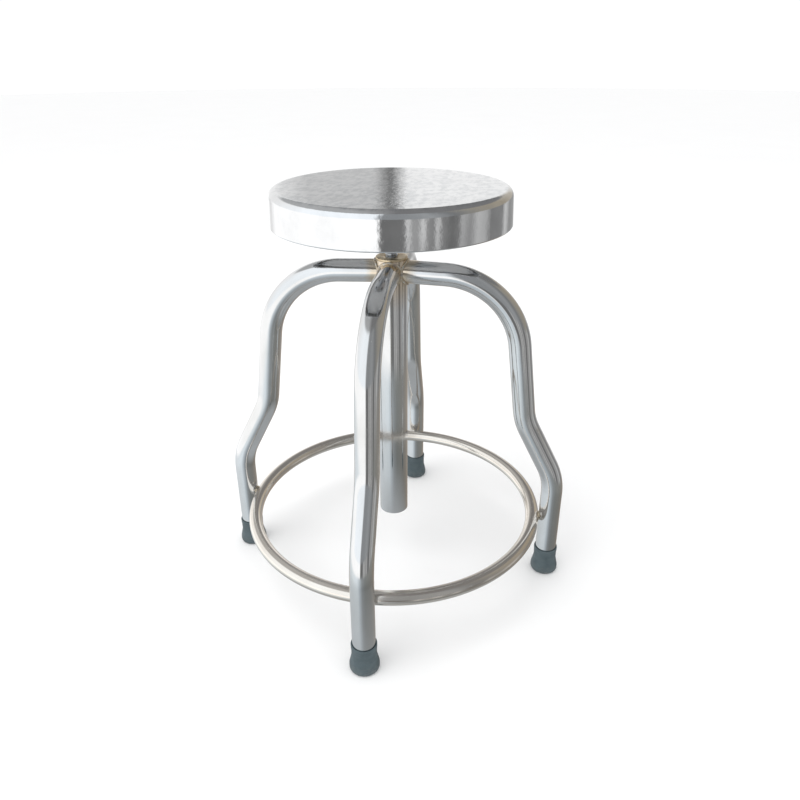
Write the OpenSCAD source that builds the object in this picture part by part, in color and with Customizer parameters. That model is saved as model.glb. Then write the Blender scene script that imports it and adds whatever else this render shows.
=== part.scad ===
// Revolving clinic stool with a pressed seat pan on a screw spindle.
// Four bent tube legs stand round a centre tube and carry a foot ring.
// Turning the seat winds the spindle through the nut in the tube's top and lifts the seat.
// Millimetres, +Z up. The origin is on the floor under the spindle's axis.
// The legs point along +X, +Y, -X and -Y.

/* [Seat] */
// Height of the seat's top above the floor
seat_height = 560; // [550:1:600]
// Diameter of the seat pan across its lower edge
seat_diameter = 300; // [290:1:340]
// Depth of the seat pan from its top to its lower edge
seat_depth = 44; // [40:1:50]
// How much the pan's wall spreads outwards on its way down
seat_flare = 1.5; // [0.5:0.1:3]
// Radius of the rounded shoulder round the seat's top
seat_shoulder = 10; // [8:0.5:12]
// Thickness of the pan's sheet
seat_sheet = 1.2; // [1:0.1:1.6]
// Radius of the rolled bead along the pan's lower edge
seat_bead = 1.7; // [1.6:0.1:2.2]
// Thickness of the plywood board inside the pan
board_thickness = 15; // [12:1:18]

/* [Spindle] */
// Diameter over the crests of the spindle's thread
thread_diameter = 16; // [14:1:18]
// Distance that one turn of the seat lifts it
thread_pitch = 4; // [3:0.5:5]
// Depth of the thread's groove
thread_depth = 2; // [1.5:0.1:2.2]
// Length of the nut in the top of the centre tube
nut_length = 40; // [30:1:45]
// Height of the foot of the spindle's journal above the floor
journal_height = 200; // [195:1:210]
// Diameter of the journal that carries the guide bush
journal_diameter = 12; // [11:0.5:13]
// Length of the guide bush
bush_length = 26; // [20:1:30]

/* [Centre tube] */
// Outside diameter of the centre tube
centre_diameter = 41; // [36:1:44]
// Height of the centre tube's lower end above the floor
centre_bottom = 88; // [80:1:110]
// Height of the centre tube's upper end above the floor
centre_top = 470; // [469:1:472]
// Wall thickness of the tubes
tube_wall = 1.5; // [1.2:0.1:2]

/* [Legs] */
// Outside diameter of a leg's tube
leg_diameter = 30; // [28:1:31]
// Height at which the legs' centrelines meet the axis
hub_height = 454; // [452:1:455]
// Slope of a leg's top stretch below the horizontal
top_slope = 2; // [0:0.5:4]
// Length of a leg's top stretch from the axis
top_run = 69; // [60:1:75]
// Radius of the large bend at a leg's shoulder
shoulder_bend = 105; // [95:1:110]
// Lean of a leg's long upper stretch from the vertical
upper_lean = 7.3; // [5:0.1:9]
// Length of that upper stretch
upper_run = 94; // [85:1:100]
// Radius of the bend above the outward jog
knee_bend = 90; // [80:1:100]
// Lean of the outward jog from the vertical
jog_lean = 27.5; // [22:0.5:30]
// Length of the outward jog
jog_run = 63; // [55:1:65]
// Radius of the bend below the outward jog
ankle_bend = 94; // [85:1:100]

/* [Foot ring and feet] */
// Height of the foot ring's centreline above the floor
ring_height = 94; // [85:1:100]
// Outside diameter of the foot ring's tube
ring_diameter = 19; // [16:1:22]
// Height of a rubber foot
foot_height = 41; // [34:1:46]
// Diameter of a rubber foot where it spreads on the floor
foot_diameter = 39; // [37:1:46]
// Thickness of the rubber round the end of a leg
foot_wall = 1.8; // [1.6:0.1:3]
// Rubber under the end of a leg
foot_floor = 8; // [6:1:10]

/* [Hidden] */
$fn = 96;

// Cut shapes run this far past the faces that they cut
past = 1;
leg_r = leg_diameter / 2;
centre_r = centre_diameter / 2;
centre_inner_r = centre_r - tube_wall;
ring_tube_r = ring_diameter / 2;
thread_r = thread_diameter / 2;
journal_r = journal_diameter / 2;
seat_r = seat_diameter / 2;
seat_top_r = seat_r - seat_flare;

// Steel washer in each foot, under the end of the leg
foot_washer_r = 13;
foot_washer_hole_r = 4;
foot_washer_thickness = 2;
leg_end = foot_floor + foot_washer_thickness;

// Bending thins a tube's wall by a hair, and the straight runs lap over the bends
leg_inner_r = leg_r - tube_wall;
bend_thinning = 0.02;
bend_lap = 0.5;

// Running clearance of the spindle in its nut and of the guide bush
running = 0.05;
// Gap left between the guide bush and what holds it endways
end_float = 0.3;

nut_flange = 3;
nut_chamfer = 1;
nut_top = centre_top + nut_flange;
nut_bottom = centre_top - nut_length;
bush_bottom = journal_height + end_float;
journal_top = bush_bottom + bush_length + end_float;

// Stop bolt and its washers under the journal
stop_washer_r = 14;
stop_washer_thickness = 3;
spring_washer_thickness = 2;
spring_washer_r = 7;
spring_washer_gap = 1.5;
stop_bolt_r = 4;
stop_bolt_reach = 22;
stop_bolt_head = 5.5;
stop_bolt_head_r = 7.5;
stop_washer_bottom = journal_height - stop_washer_thickness;
spring_washer_bottom = stop_washer_bottom - spring_washer_thickness;

// Seat flange: a round plate under the board with a collar round the spindle
pan_bottom = seat_height - seat_depth;
board_top = seat_height - seat_sheet;
board_bottom = board_top - board_thickness;
board_r = seat_top_r - seat_shoulder - 0.5;
flange_thickness = 5;
flange_r = 55;
flange_bottom = board_bottom - flange_thickness;
collar_gap = 17;
collar_bottom = nut_top + collar_gap;
collar_r = 15;
flange_screw_circle_r = 42;
flange_screw_r = 3;
flange_screw_reach = 12;
flange_screw_head = 4.5;
flange_screw_head_r = 5.8;
flange_washer_r = 7;
flange_washer_thickness = 1.5;
flange_washer_bottom = flange_bottom - flange_washer_thickness;

// Clips that hold the board up in the pan
clip_count = 6;
clip_angle = 9;
clip_sheet = 1.6;
clip_drop = 15;
clip_inner_r = board_r - 16;
clip_screw_circle_r = board_r - 9;
clip_screw_r = 2;
clip_screw_reach = 9;
clip_screw_head = 2.4;
clip_screw_head_r = 4;
clip_screw_rim_r = 3;

// Every leg: straight runs, each followed by a bend to a new angle below the horizontal
leg_steps = [[top_run, shoulder_bend, 90 - upper_lean],
             [upper_run, knee_bend, 90 - jog_lean],
             [jog_run, ankle_bend, 90]];

// Turning sense of a bend: 1 turns downwards, -1 turns outwards
function sense(from, to) = to > from ? 1 : -1;
// Travel along X and Z of one run and its bend
function run_travel(length, dip) = [length * cos(dip), 0, -length * sin(dip)];
function bend_travel(radius, from, to) =
    sense(from, to) * radius * [sin(to) - sin(from), 0, cos(to) - cos(from)];
function step_travel(step, dip) = run_travel(step[0], dip) + bend_travel(step[1], dip, step[2]);
function leg_travel(index, dip) =
    index == len(leg_steps) ? [0, 0, 0]
    : step_travel(leg_steps[index], dip) + leg_travel(index + 1, leg_steps[index][2]);

foot_offset = leg_travel(0, top_slope);
foot_r = foot_offset[0];
ankle_height = hub_height + foot_offset[2];

// The ring lies against the legs' inner sides, with a hair's gap that the welds bridge
weld_gap = 0.1;
ring_r = foot_r - leg_r - ring_tube_r - weld_gap;
ring_weld_r = 6;
leg_weld_thickness = 2;
leg_weld_width = 2.5;
spindle_weld_r = 3;

// Section of a tube
module tube_section(radius, bore) {
    difference() {
        circle(r = radius);
        circle(r = bore);
    }
}

// A straight run of leg tube from the origin along +X, lapping the bends at both its ends
module straight_run(length) {
    translate([-bend_lap, 0, 0])
        rotate([0, 90, 0])
            linear_extrude(height = length + 2 * bend_lap)
                tube_section(leg_r, leg_inner_r);
}

// Carries its children round a bend that starts along +X.
// A positive angle turns down and a negative one turns up.
module round_bend(bend_radius, angle) {
    drop = sign(angle) * bend_radius;
    translate([0, 0, -drop])
        rotate([0, angle, 0])
            translate([0, 0, drop])
                children();
}

// A bend of leg tube that starts from the origin along +X
module bend(bend_radius, angle) {
    mirror([0, 0, angle > 0 ? 0 : 1])
        translate([0, 0, -bend_radius])
            rotate([-90, 0, 0])
                rotate([0, 0, -90])
                    rotate_extrude(angle = abs(angle))
                        translate([bend_radius, 0])
                            tube_section(leg_r - bend_thinning, leg_inner_r + bend_thinning);
}

// The runs and bends of one leg from a given step on, then the last run down to the foot
module leg_path(index, dip) {
    if (index == len(leg_steps)) {
        straight_run(ankle_height - leg_end - bend_lap);
    } else {
        step = leg_steps[index];
        turn = step[2] - dip;
        straight_run(step[0]);
        translate([step[0], 0, 0]) {
            bend(step[1], turn);
            round_bend(step[1], turn)
                leg_path(index + 1, step[2]);
        }
    }
}

// Places its children at the hub, along the top stretch of the leg on +X
module at_hub() {
    translate([0, 0, hub_height])
        rotate([0, 90 + top_slope, 0])
            children();
}

// A quarter of the plan, so that neighbouring legs meet in mitres
module quarter() {
    reach = foot_r + 2 * leg_diameter;
    linear_extrude(height = seat_height)
        polygon([[0, 0], [reach, -reach], [reach, reach]]);
}

module leg() {
    color("gainsboro")
        intersection() {
            difference() {
                translate([0, 0, hub_height])
                    rotate([0, top_slope, 0])
                        leg_path(0, top_slope);
                cylinder(h = seat_height, r = centre_r);
            }
            quarter();
        }
}

// Copies its children once for each leg
module for_each_leg() {
    for (turn = [0 : 90 : 270])
        rotate([0, 0, turn])
            children();
}

module leg_right() {
    leg();
}

module leg_back() {
    rotate([0, 0, 90])
        leg();
}

module leg_left() {
    rotate([0, 0, 180])
        leg();
}

module leg_front() {
    rotate([0, 0, 270])
        leg();
}

module centre_tube() {
    color("gainsboro")
        difference() {
            translate([0, 0, centre_bottom])
                cylinder(h = centre_top - centre_bottom, r = centre_r);
            translate([0, 0, centre_bottom - past])
                cylinder(h = centre_top - centre_bottom + 2 * past, r = centre_inner_r);
        }
}

// Pressed cup that closes the centre tube's lower end
module tube_end_plug() {
    plug_height = 12;
    color("silver")
        difference() {
            translate([0, 0, centre_bottom])
                cylinder(h = plug_height, r = centre_inner_r);
            translate([0, 0, centre_bottom + tube_wall])
                cylinder(h = plug_height, r = centre_inner_r - tube_wall);
        }
}

// Nut pressed into the centre tube, with a flange that sits on the tube's end
module lift_nut() {
    color("darkgoldenrod")
        difference() {
            union() {
                translate([0, 0, nut_bottom])
                    cylinder(h = nut_length, r = centre_inner_r);
                translate([0, 0, centre_top])
                    cylinder(h = nut_flange, r1 = centre_r, r2 = centre_r - nut_chamfer);
            }
            translate([0, 0, nut_bottom - past])
                cylinder(h = nut_length + nut_flange + 2 * past, r = thread_r + running);
        }
}

// Weld beads round the legs where they join the centre tube
module leg_welds() {
    color("darkgray")
        difference() {
            for_each_leg()
                at_hub()
                    cylinder(h = centre_r + leg_weld_width, r = leg_r + leg_weld_thickness);
            for_each_leg()
                at_hub()
                    cylinder(h = top_run, r = leg_r);
            cylinder(h = seat_height, r = centre_r);
        }
}

module foot_ring() {
    color("gainsboro")
        translate([0, 0, ring_height])
            rotate_extrude()
                translate([ring_r, 0])
                    difference() {
                        circle(r = ring_tube_r);
                        circle(r = ring_tube_r - tube_wall);
                    }
}

// Small fillet welds that join the foot ring to the four legs
module ring_welds() {
    color("darkgray")
        for_each_leg()
            difference() {
                translate([foot_r - leg_r, 0, ring_height])
                    sphere(r = ring_weld_r);
                translate([foot_r, 0, 0])
                    cylinder(h = 2 * ring_height, r = leg_r);
                translate([ring_r, 0, ring_height])
                    rotate([90, 0, 0])
                        cylinder(h = leg_diameter, r = ring_tube_r, center = true);
            }
}

// Rubber ferrule: a sleeve on the leg's end that spreads into a rounded base
module foot() {
    sleeve_r = leg_r + foot_wall;
    lip = 1.5;
    base_r = foot_diameter / 2;
    base_round = 5;
    tread_depth = 1.2;
    translate([foot_r, 0, 0])
        color("slategray")
            rotate_extrude()
                difference() {
                    union() {
                        square([base_r - base_round, foot_height]);
                        translate([0, lip])
                            square([sleeve_r - lip, foot_height - lip]);
                        translate([0, base_round])
                            square([sleeve_r, foot_height - base_round - lip]);
                        translate([sleeve_r - lip, foot_height - lip])
                            circle(r = lip);
                        translate([base_r - base_round, base_round])
                            circle(r = base_round);
                        polygon([[0, base_round],
                                 [base_r, base_round],
                                 [sleeve_r, foot_height / 2],
                                 [0, foot_height / 2]]);
                    }
                    translate([0, foot_floor])
                        square([leg_r, foot_height]);
                    translate([base_r / 3, -past])
                        square([base_r / 6, tread_depth + past]);
                }
}

module foot_right() {
    foot();
}

module foot_back() {
    rotate([0, 0, 90])
        foot();
}

module foot_left() {
    rotate([0, 0, 180])
        foot();
}

module foot_front() {
    rotate([0, 0, 270])
        foot();
}

// A flat ring, such as a washer, standing on a height
module flat_ring(bottom, thickness, outer_r, inner_r) {
    translate([0, 0, bottom])
        difference() {
            cylinder(h = thickness, r = outer_r);
            translate([0, 0, -past])
                cylinder(h = thickness + 2 * past, r = inner_r);
        }
}

module foot_washers() {
    color("silver")
        for_each_leg()
            translate([foot_r, 0, 0])
                flat_ring(foot_floor, foot_washer_thickness, foot_washer_r, foot_washer_hole_r);
}

// Nylon bush that steadies the spindle's lower end inside the centre tube
module guide_bush() {
    color("ivory")
        flat_ring(bush_bottom, bush_length, centre_inner_r - running, journal_r + running);
}

// Outline of the thread from the axis outwards, with one groove for each pitch
module thread_outline(bottom, top) {
    grooves = floor((top - bottom) / thread_pitch);
    crest = 0.36 * thread_pitch;
    root = 0.28 * thread_pitch;
    difference() {
        translate([0, bottom])
            square([thread_r, top - bottom]);
        for (groove = [0 : grooves - 1])
            translate([thread_r, bottom + (groove + 0.5) * thread_pitch])
                polygon([[past, thread_pitch / 2 - crest / 2],
                         [0, thread_pitch / 2 - crest / 2],
                         [-thread_depth, root / 2],
                         [-thread_depth, -root / 2],
                         [0, crest / 2 - thread_pitch / 2],
                         [past, crest / 2 - thread_pitch / 2]]);
    }
}

module spindle() {
    color("silver")
        difference() {
            rotate_extrude() {
                thread_outline(journal_top, collar_bottom + thread_pitch);
                translate([0, collar_bottom + thread_pitch])
                    square([thread_r, board_bottom - collar_bottom - thread_pitch]);
                translate([0, journal_height])
                    square([journal_r, journal_top - journal_height]);
            }
            translate([0, 0, journal_height - past])
                cylinder(h = stop_bolt_reach + past, r = stop_bolt_r);
        }
}

// Washer that meets the nut from below and ends the seat's rise
module stop_washer() {
    color("silver")
        flat_ring(stop_washer_bottom, stop_washer_thickness, stop_washer_r, stop_bolt_r);
}

module spring_washer() {
    color("dimgray")
        difference() {
            flat_ring(spring_washer_bottom, spring_washer_thickness, spring_washer_r, stop_bolt_r);
            translate([0, -spring_washer_gap / 2, spring_washer_bottom - past])
                cube([stop_washer_r, spring_washer_gap, spring_washer_thickness + 2 * past]);
        }
}

module stop_bolt() {
    color("dimgray") {
        translate([0, 0, spring_washer_bottom - stop_bolt_head])
            cylinder(h = stop_bolt_head, r = stop_bolt_head_r, $fn = 6);
        translate([0, 0, spring_washer_bottom])
            cylinder(h = journal_height + stop_bolt_reach - spring_washer_bottom, r = stop_bolt_r);
    }
}

// Places its children on the four screws of the seat flange
module at_flange_screws() {
    for (turn = [45 : 90 : 315])
        rotate([0, 0, turn])
            translate([flange_screw_circle_r, 0, 0])
                children();
}

// Round plate screwed to the board, with the collar that takes the spindle
module seat_flange() {
    color("silver")
        difference() {
            union() {
                translate([0, 0, flange_bottom])
                    cylinder(h = flange_thickness, r = flange_r);
                translate([0, 0, collar_bottom])
                    cylinder(h = flange_bottom - collar_bottom, r = collar_r);
            }
            translate([0, 0, collar_bottom - past])
                cylinder(h = seat_height, r = thread_r);
            at_flange_screws()
                translate([0, 0, flange_bottom - past])
                    cylinder(h = flange_thickness + 2 * past, r = flange_screw_r);
        }
}

// Weld bead between the spindle and the lower end of the flange's collar
module spindle_weld() {
    color("darkgray")
        translate([0, 0, collar_bottom - spindle_weld_r])
            difference() {
                cylinder(h = spindle_weld_r, r1 = thread_r, r2 = thread_r + spindle_weld_r);
                translate([0, 0, -past])
                    cylinder(h = spindle_weld_r + 2 * past, r = thread_r);
            }
}

module flange_screws() {
    color("dimgray")
        at_flange_screws() {
            translate([0, 0, flange_washer_bottom - flange_screw_head])
                cylinder(h = flange_screw_head, r = flange_screw_head_r, $fn = 6);
            translate([0, 0, flange_washer_bottom])
                cylinder(h = board_bottom + flange_screw_reach - flange_washer_bottom, r = flange_screw_r);
        }
}

module flange_washers() {
    color("silver")
        at_flange_screws()
            flat_ring(flange_washer_bottom, flange_washer_thickness, flange_washer_r, flange_screw_r);
}

// Places its children on the screws of the pan's clips
module at_clips() {
    for (clip = [0 : clip_count - 1])
        rotate([0, 0, clip * 360 / clip_count])
            children();
}

// Plywood disc that backs the pan's top
module backing_board() {
    color("burlywood")
        difference() {
            translate([0, 0, board_bottom])
                cylinder(h = board_thickness, r = board_r);
            at_flange_screws()
                translate([0, 0, board_bottom - past])
                    cylinder(h = flange_screw_reach + past, r = flange_screw_r);
            at_clips()
                translate([clip_screw_circle_r, 0, board_bottom - past])
                    cylinder(h = clip_screw_reach + past, r = clip_screw_r);
        }
}

// Radius of the pan's outer wall at a height
function pan_wall_r(height) =
    seat_r - seat_flare * (height - pan_bottom) / (seat_depth - seat_shoulder);

// Half section of the pan, filled, drawn in by an inset and reaching down to a height
module pan_outline(inset, bottom) {
    round_height = seat_height - seat_shoulder;
    translate([seat_top_r - seat_shoulder, round_height])
        circle(r = seat_shoulder - inset);
    polygon([[0, bottom],
             [pan_wall_r(bottom) - inset, bottom],
             [seat_top_r - inset, round_height],
             [seat_top_r - seat_shoulder, seat_height - inset],
             [0, seat_height - inset]]);
}

// Pressed pan with a rounded shoulder and a bead rolled inwards along its lower edge
module seat_pan() {
    color("whitesmoke")
        rotate_extrude() {
            difference() {
                pan_outline(0, pan_bottom + seat_bead);
                pan_outline(seat_sheet, pan_bottom - past);
            }
            translate([seat_r - seat_bead, pan_bottom + seat_bead])
                circle(r = seat_bead);
        }
}

// Angle clips welded inside the pan's wall, each reaching in under the board
module pan_clips() {
    clip_bottom = board_bottom - clip_drop;
    upper_r = pan_wall_r(board_bottom) - seat_sheet;
    lower_r = pan_wall_r(clip_bottom) - seat_sheet;
    color("silver")
        difference() {
            at_clips()
                rotate([0, 0, -clip_angle / 2])
                    rotate_extrude(angle = clip_angle)
                        polygon([[clip_inner_r, board_bottom - clip_sheet],
                                 [upper_r - clip_sheet, board_bottom - clip_sheet],
                                 [lower_r - clip_sheet, clip_bottom],
                                 [lower_r, clip_bottom],
                                 [upper_r, board_bottom],
                                 [clip_inner_r, board_bottom]]);
            at_clips()
                translate([clip_screw_circle_r, 0, board_bottom - clip_sheet - past])
                    cylinder(h = clip_sheet + 2 * past, r = clip_screw_r);
        }
}

module clip_screws() {
    head_bottom = board_bottom - clip_sheet - clip_screw_head;
    color("dimgray")
        at_clips()
            translate([clip_screw_circle_r, 0, head_bottom]) {
                cylinder(h = clip_screw_head, r1 = clip_screw_rim_r, r2 = clip_screw_head_r);
                cylinder(h = board_bottom + clip_screw_reach - head_bottom, r = clip_screw_r);
            }
}

centre_tube();
tube_end_plug();
lift_nut();
leg_right();
leg_back();
leg_left();
leg_front();
leg_welds();
foot_ring();
ring_welds();
foot_right();
foot_back();
foot_left();
foot_front();
foot_washers();
guide_bush();
spindle();
stop_washer();
spring_washer();
stop_bolt();
seat_flange();
spindle_weld();
backing_board();
flange_screws();
flange_washers();
pan_clips();
clip_screws();
seat_pan();
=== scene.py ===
import math

import bmesh
import bpy
from mathutils import Matrix, Vector


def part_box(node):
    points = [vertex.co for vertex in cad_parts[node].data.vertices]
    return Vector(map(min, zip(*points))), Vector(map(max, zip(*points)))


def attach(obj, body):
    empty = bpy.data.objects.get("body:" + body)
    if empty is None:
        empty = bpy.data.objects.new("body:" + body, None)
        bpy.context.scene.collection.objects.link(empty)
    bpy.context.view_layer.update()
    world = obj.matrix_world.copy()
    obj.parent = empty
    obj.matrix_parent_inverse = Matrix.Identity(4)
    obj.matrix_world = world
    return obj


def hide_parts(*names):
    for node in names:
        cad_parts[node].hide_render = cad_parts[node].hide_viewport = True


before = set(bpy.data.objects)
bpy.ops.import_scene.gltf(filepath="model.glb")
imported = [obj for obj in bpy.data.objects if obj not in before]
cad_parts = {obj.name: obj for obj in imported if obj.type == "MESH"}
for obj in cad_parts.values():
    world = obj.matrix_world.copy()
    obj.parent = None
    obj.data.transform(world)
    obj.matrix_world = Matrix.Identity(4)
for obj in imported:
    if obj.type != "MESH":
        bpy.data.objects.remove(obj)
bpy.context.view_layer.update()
MM = 0.001


# ---- Centre tube ----
# Straight length of polished stainless tube that carries the nut and the four legs.
# Cut from drawn stock, its ends deburred, then buffed along its length.
def start_finish(name):
    finish = bpy.data.materials.new(name)
    finish.use_nodes = True
    tree = finish.node_tree
    return finish, tree.nodes, tree.links, tree.nodes["Principled BSDF"]


def stretched_noise(nodes, links, where, stretch, detail, turn=(0, 0, 0)):
    mapping = nodes.new("ShaderNodeMapping")
    mapping.inputs["Scale"].default_value = stretch
    mapping.inputs["Rotation"].default_value = turn
    noise = nodes.new("ShaderNodeTexNoise")
    noise.inputs["Scale"].default_value = 1.0
    noise.inputs["Detail"].default_value = detail
    links.new(where, mapping.inputs["Vector"])
    links.new(mapping.outputs["Vector"], noise.inputs["Vector"])
    return noise.outputs["Fac"]


def remap(nodes, links, value, low, high, new_low, new_high):
    spread = nodes.new("ShaderNodeMapRange")
    spread.inputs["From Min"].default_value = low
    spread.inputs["From Max"].default_value = high
    spread.inputs["To Min"].default_value = new_low
    spread.inputs["To Max"].default_value = new_high
    links.new(value, spread.inputs["Value"])
    return spread.outputs["Result"]


def combine(nodes, links, operation, first, second):
    maths = nodes.new("ShaderNodeMath")
    maths.operation = operation
    for socket, value in zip(maths.inputs, (first, second)):
        if isinstance(value, (int, float)):
            socket.default_value = value
        else:
            links.new(value, socket)
    return maths.outputs["Value"]


def blend_colours(nodes, links, amount, first, second):
    mix = nodes.new("ShaderNodeMix")
    mix.data_type = "RGBA"
    links.new(amount, mix.inputs["Factor"])
    for socket, value in ((mix.inputs["A"], first), (mix.inputs["B"], second)):
        if isinstance(value, tuple):
            socket.default_value = (*value, 1)
        else:
            links.new(value, socket)
    return mix.outputs["Result"]


def raise_surface(nodes, links, height, distance, strength, under=None):
    bump = nodes.new("ShaderNodeBump")
    bump.inputs["Distance"].default_value = distance
    bump.inputs["Strength"].default_value = strength
    links.new(height, bump.inputs["Height"])
    if under is not None:
        links.new(under, bump.inputs["Normal"])
    return bump.outputs["Normal"]


def buffed_tube_steel(name, attribute=None, bright=(0.78, 0.785, 0.79), dull=(0.70, 0.70, 0.69),
                      extra_rough=0.0):
    finish, nodes, links, shader = start_finish(name)
    if attribute is None:
        where = nodes.new("ShaderNodeTexCoord").outputs["Object"]
    else:
        reader = nodes.new("ShaderNodeAttribute")
        reader.attribute_name = attribute
        where = reader.outputs["Vector"]
    draw_lines = stretched_noise(nodes, links, where, (1500, 1500, 9), 3)
    smears = stretched_noise(nodes, links, where, (38, 38, 17), 5)
    ripples = stretched_noise(nodes, links, where, (26, 26, 11), 1)
    scores = stretched_noise(nodes, links, where, (2300, 2300, 60), 1, (0.05, 0.09, 0))
    lined = remap(nodes, links, draw_lines, 0.3, 0.7, 0.0, 0.05)
    smeared = remap(nodes, links, smears, 0.42, 0.72, 0.06 + extra_rough, 0.15 + extra_rough)
    scored = remap(nodes, links, scores, 0.70, 0.76, 0.0, 0.12)
    rough = combine(nodes, links, "ADD", combine(nodes, links, "ADD", lined, smeared), scored)
    links.new(rough, shader.inputs["Roughness"])
    tone = remap(nodes, links, smears, 0.3, 0.75, 0.0, 1.0)
    steel = blend_colours(nodes, links, tone, bright, dull)
    place = nodes.new("ShaderNodeTexCoord").outputs["Object"]
    parts = nodes.new("ShaderNodeSeparateXYZ")
    links.new(place, parts.inputs["Vector"])
    across = nodes.new("ShaderNodeVectorMath")
    across.operation = "LENGTH"
    flat = nodes.new("ShaderNodeCombineXYZ")
    links.new(parts.outputs["X"], flat.inputs["X"])
    links.new(parts.outputs["Y"], flat.inputs["Y"])
    links.new(flat.outputs["Vector"], across.inputs[0])
    wander = remap(nodes, links, smears, 0.3, 0.7, -0.006, 0.006)
    reach = combine(nodes, links, "ADD", across.outputs["Value"], wander)
    inner = remap(nodes, links, reach, 0.028, 0.037, 1.0, 0.0)
    high = remap(nodes, links, parts.outputs["Z"], 0.405, 0.44, 0.0, 1.0)
    heat = combine(nodes, links, "MULTIPLY", inner, high)
    tinted = blend_colours(nodes, links, heat, steel, (0.72, 0.62, 0.49))
    links.new(tinted, shader.inputs["Base Color"])
    shader.inputs["Metallic"].default_value = 1.0
    waved = raise_surface(nodes, links, ripples, 0.0009, 0.35)
    links.new(raise_surface(nodes, links, draw_lines, 0.00002, 0.35, waved), shader.inputs["Normal"])
    return finish


def finish_mesh(work, name, finish, body, nodes_replaced, sharp_from=38):
    for face in work.faces:
        face.smooth = True
    for edge in work.edges:
        if edge.is_manifold and edge.calc_face_angle(0) > math.radians(sharp_from):
            edge.smooth = False
    mesh = bpy.data.meshes.new(name)
    work.to_mesh(mesh)
    work.free()
    mesh.materials.append(finish)
    piece = bpy.data.objects.new(name, mesh)
    bpy.context.scene.collection.objects.link(piece)
    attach(piece, body)
    if nodes_replaced:
        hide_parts(*nodes_replaced)
    return piece


def lathe(work, outline, rounding=(), around=128):
    corners = [work.verts.new((radius * MM, 0, height * MM)) for radius, height in outline]
    for first, second in zip(corners, corners[1:] + corners[:1]):
        if first.co.x > 0 or second.co.x > 0:
            work.edges.new((first, second))
    count = len(corners)
    places = [Vector(corner.co) for corner in corners]
    for index, radius in rounding:
        before = (places[index] - places[index - 1]).normalized()
        after = (places[(index + 1) % count] - places[index]).normalized()
        reach = radius * MM * math.tan(before.angle(after) / 2)
        steps = max(3, round(radius * 1.6) + 2)
        bmesh.ops.bevel(work, geom=[corners[index]], offset=reach, offset_type="OFFSET", segments=steps,
                        profile=0.5, affect="VERTICES", material=-1)
    loose = [v for v in work.verts if not v.link_faces]
    wires = [e for e in work.edges if not e.link_faces]
    bmesh.ops.spin(work, geom=loose + wires, cent=(0, 0, 0), axis=(0, 0, 1), angle=math.tau,
                   steps=around, use_merge=True, use_duplicate=False)
    bmesh.ops.remove_doubles(work, verts=work.verts[:], dist=1e-6)
    bmesh.ops.recalc_face_normals(work, faces=work.faces[:])


tube_low, tube_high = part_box("centre_tube")
tube_radius = tube_high.x / MM
tube_bottom = tube_low.z / MM
tube_top = tube_high.z / MM
tube_wall = 1.5
column = bmesh.new()
lathe(column, [(tube_radius - tube_wall, tube_bottom), (tube_radius, tube_bottom),
               (tube_radius, tube_top), (tube_radius - tube_wall, tube_top)],
      [(0, 0.4), (1, 0.6), (2, 0.5), (3, 0.4)])
column_steel = buffed_tube_steel("buffed_column_steel")
finish_mesh(column, "centre_column", column_steel, "frame", ["centre_tube"])


# ---- Legs ----
# Four lengths of buffed stainless tube, each bent three times on a former and mitred
# against its neighbours where the tops meet the centre tube.
hub_height = 454.0
top_slope = math.radians(2)
leg_bends = [(69.0, 105.0, math.radians(90 - 7.3)),
             (94.0, 90.0, math.radians(90 - 27.5)),
             (63.0, 94.0, math.radians(90))]
leg_low, leg_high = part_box("leg_right")
leg_end = leg_low.z / MM
foot_low, foot_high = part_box("foot_right")
foot_out = (foot_low.x + foot_high.x) / 2
leg_radius = leg_high.x / MM - foot_out / MM
leg_sides = 56
cope_depth = 0.8


def stretch_tube(work, ring, straight, move, matrix, cent, along):
    grown = bmesh.ops.extrude_edge_only(work, edges=ring)
    fresh = [item for item in grown["geom"] if isinstance(item, bmesh.types.BMVert)]
    edges = [item for item in grown["geom"] if isinstance(item, bmesh.types.BMEdge)]
    new_ring = [edge for edge in edges if all(v in fresh for v in edge.verts)]
    if matrix is not None:
        bmesh.ops.rotate(work, verts=fresh, cent=cent, matrix=matrix)
    if move is not None:
        bmesh.ops.translate(work, verts=fresh, vec=move)
    for vert in fresh:
        vert[straight] = Vector((vert[straight].x, vert[straight].y, vert[straight].z + along))
    return new_ring


def quarter_turns(work, number):
    bmesh.ops.rotate(work, verts=work.verts[:], cent=(0, 0, 0),
                     matrix=Matrix.Rotation(number * math.pi / 2, 3, "Z"))


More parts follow.
